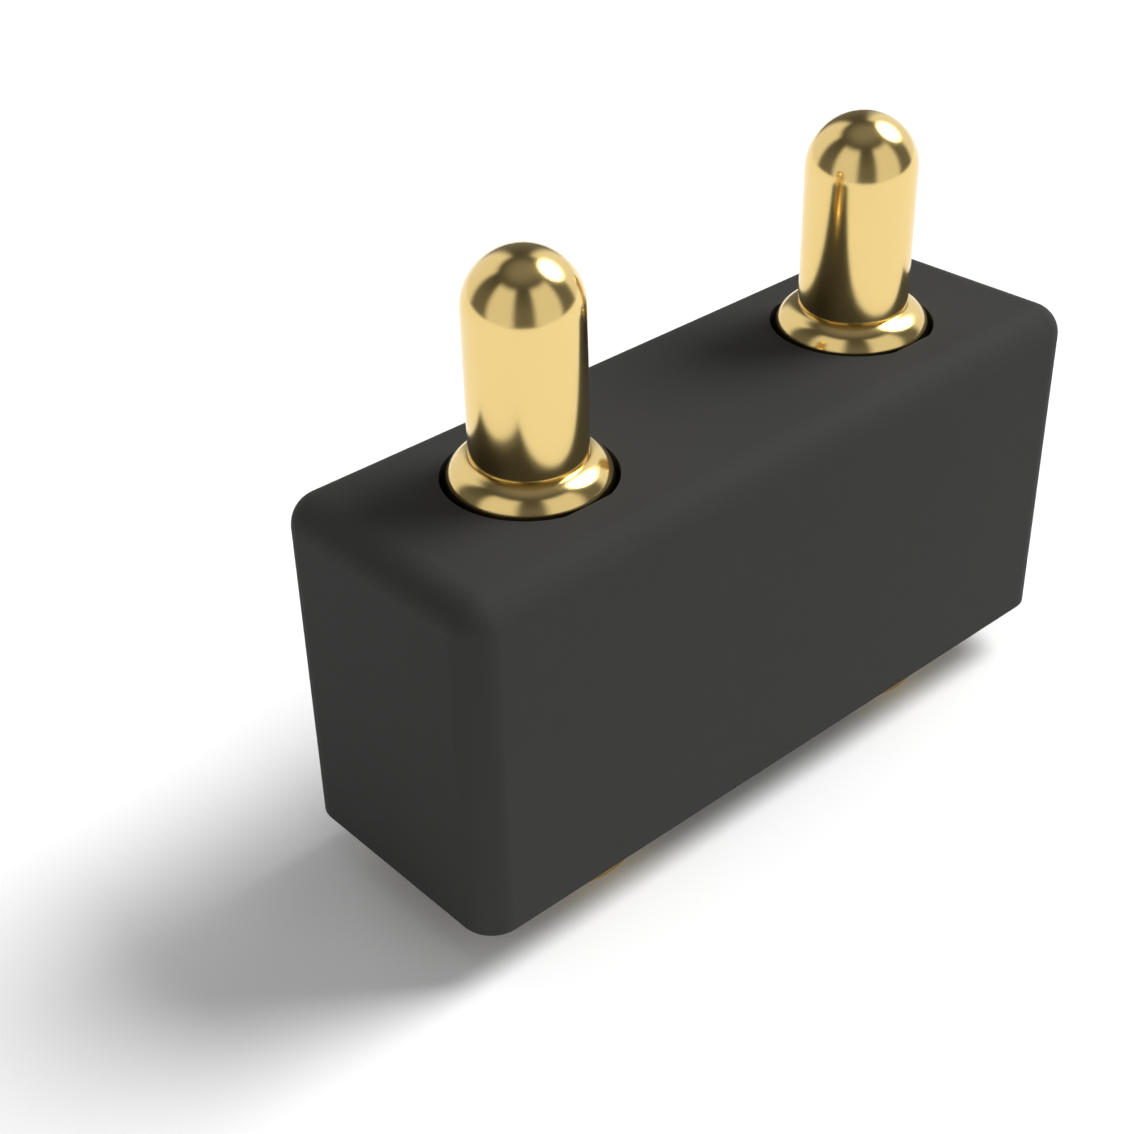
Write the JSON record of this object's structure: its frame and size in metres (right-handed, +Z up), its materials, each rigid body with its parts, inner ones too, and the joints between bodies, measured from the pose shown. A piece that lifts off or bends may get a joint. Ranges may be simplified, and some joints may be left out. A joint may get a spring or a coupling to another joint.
{
  "type": "pogo pin connector",
  "caption": "Spring pin board connector: moulded block housing, domed sliding plungers rising from rolled-lip barrels, and flat round solder feet.",
  "frame": {"origin": "on the board surface, midway between the two solder feet", "axes": "+Z up, out of the board and along the plungers; +X along the row of pins; +Y across the row"},
  "size_m": [0.0074, 0.0024, 0.0058],
  "materials": {
    "housing": "fine matte, as moulded",
    "gold_plate": "polished gold plate",
    "spring_wire": "drawn wire"
  },
  "bodies": {
    "connector_body": {"housing": "housing", "barrel_left": "gold_plate", "barrel_right": "gold_plate", "spring_left": "spring_wire", "spring_right": "spring_wire"},
    "plunger_left": {"plunger_left": "gold_plate"},
    "plunger_right": {"plunger_right": "gold_plate"}
  },
  "joints": [
    {"name": "press_left", "type": "slide", "parent": "connector_body", "child": "plunger_left", "axis": [0, 0, -1], "range_m": [0, 0.0012], "stiffness_N_per_m": 400, "deforming": ["spring_left"]},
    {"name": "press_right", "type": "slide", "parent": "connector_body", "child": "plunger_right", "axis": [0, 0, -1], "range_m": [0, 0.0012], "stiffness_N_per_m": 400, "deforming": ["spring_right"]}
  ]
}
